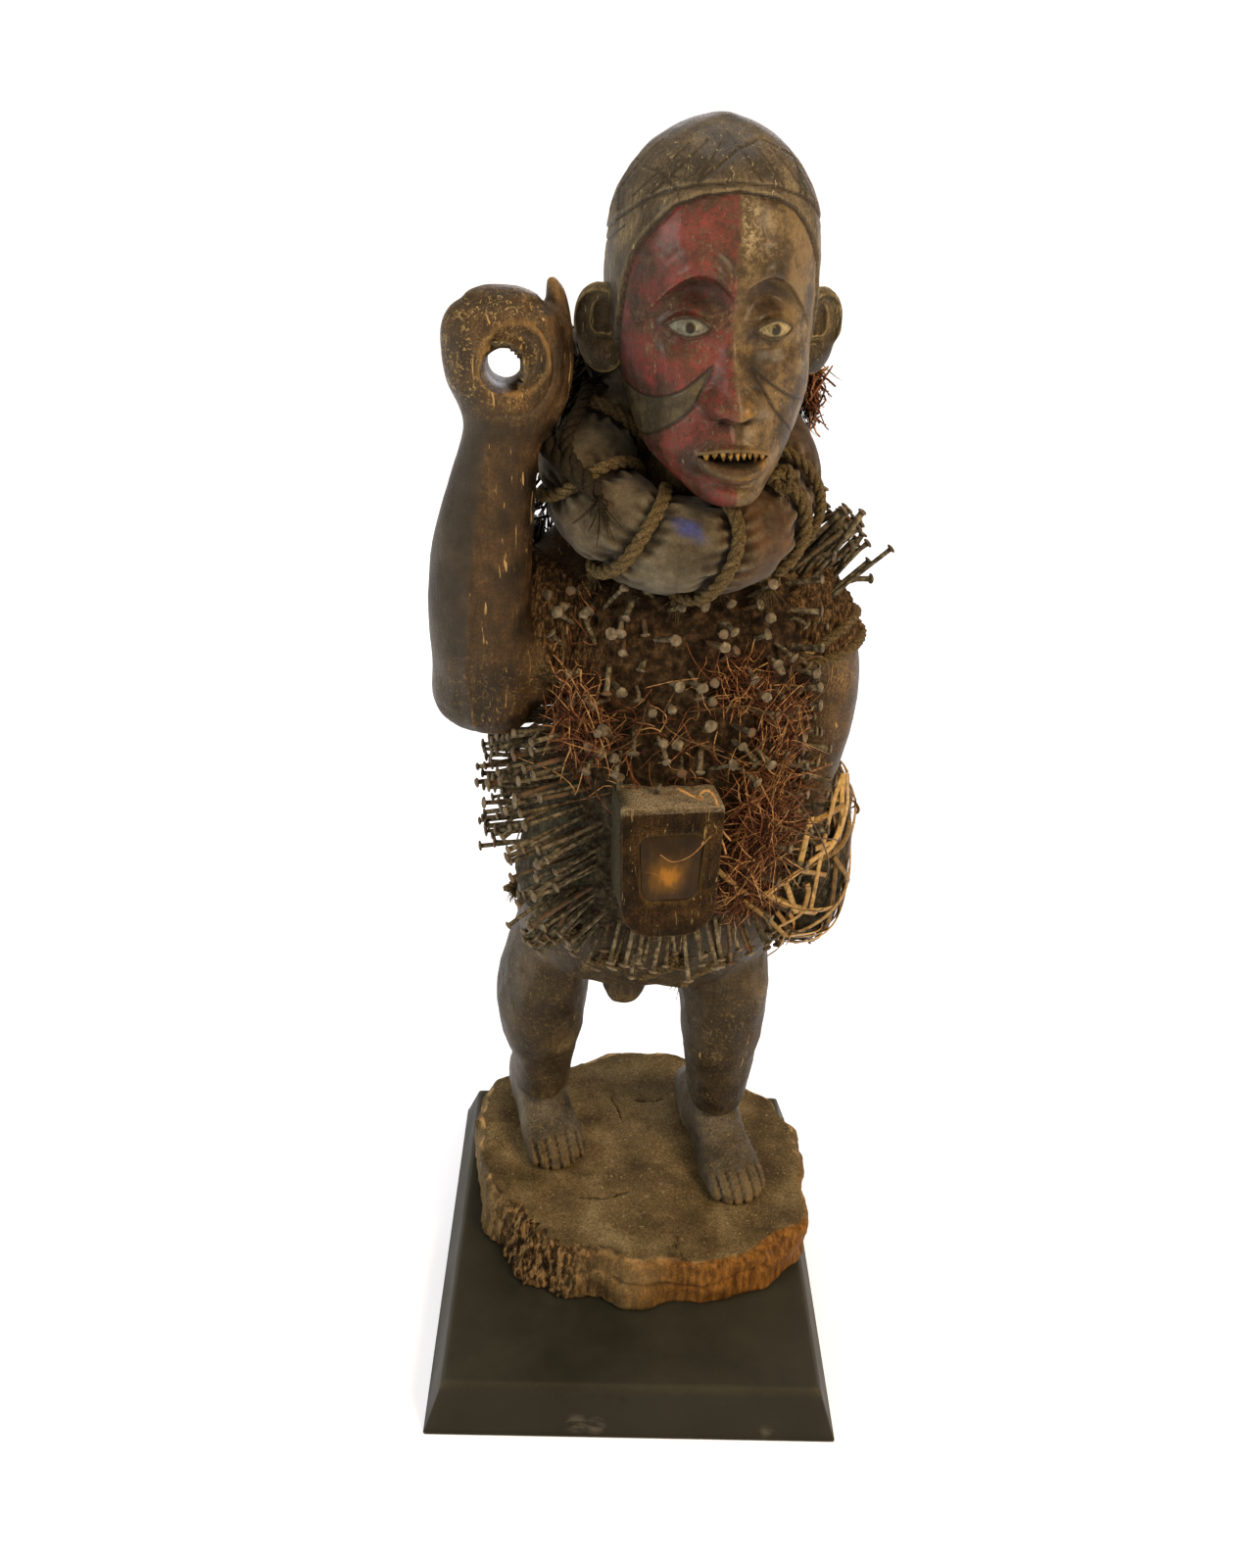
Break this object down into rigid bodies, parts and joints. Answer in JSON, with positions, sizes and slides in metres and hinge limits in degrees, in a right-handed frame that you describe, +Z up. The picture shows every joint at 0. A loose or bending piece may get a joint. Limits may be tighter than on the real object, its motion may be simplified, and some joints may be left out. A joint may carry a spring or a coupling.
{
  "type": "nkisi nkondi figure",
  "caption": "Carved standing power figure with one arm raised, driven with iron nails, with a stuffed rope-bound collar, belly box and hip bundle, on a low dark plinth.",
  "frame": {"origin": "centre of the plinth's underside", "axes": "+Z up, -Y towards the plinth's front, +X to the viewer's right; the figure is turned 8 degrees on the plinth"},
  "size_m": [0.43, 0.47, 1.2138],
  "materials": {
    "plinth_paint": "satin black paint with scuffs",
    "carved_wood": "dark handled wood with dirt and worn edges",
    "collar_cloth": "dirty stuffed cloth",
    "rope": "twisted plant fibre",
    "box_wood": "dry cracked wood",
    "resin": "glossy amber resin",
    "fibre": "knotted fibre and packed earth",
    "cane": "split cane",
    "crust": "packed earth and fibre",
    "raffia": "dry red-brown raffia",
    "iron": "brown rust patina"
  },
  "bodies": {
    "root": {"plinth": "plinth_paint", "figure": "carved_wood", "collar": "collar_cloth", "collar_rope_1": "rope", "collar_rope_2": "rope", "collar_rope_3": "rope", "collar_rope_4": "rope", "collar_rope_5": "rope", "collar_rope_6": "rope", "collar_rope_7": "rope", "collar_rope_8": "rope", "belly_box": "box_wood", "box_resin": "resin", "raised_arm_wrap": "fibre", "shoulder_wrap": "fibre", "hip_bundle": "cane", "hip_rope": "rope", "nail_crust": "crust"}
  },
  "joints": []
}
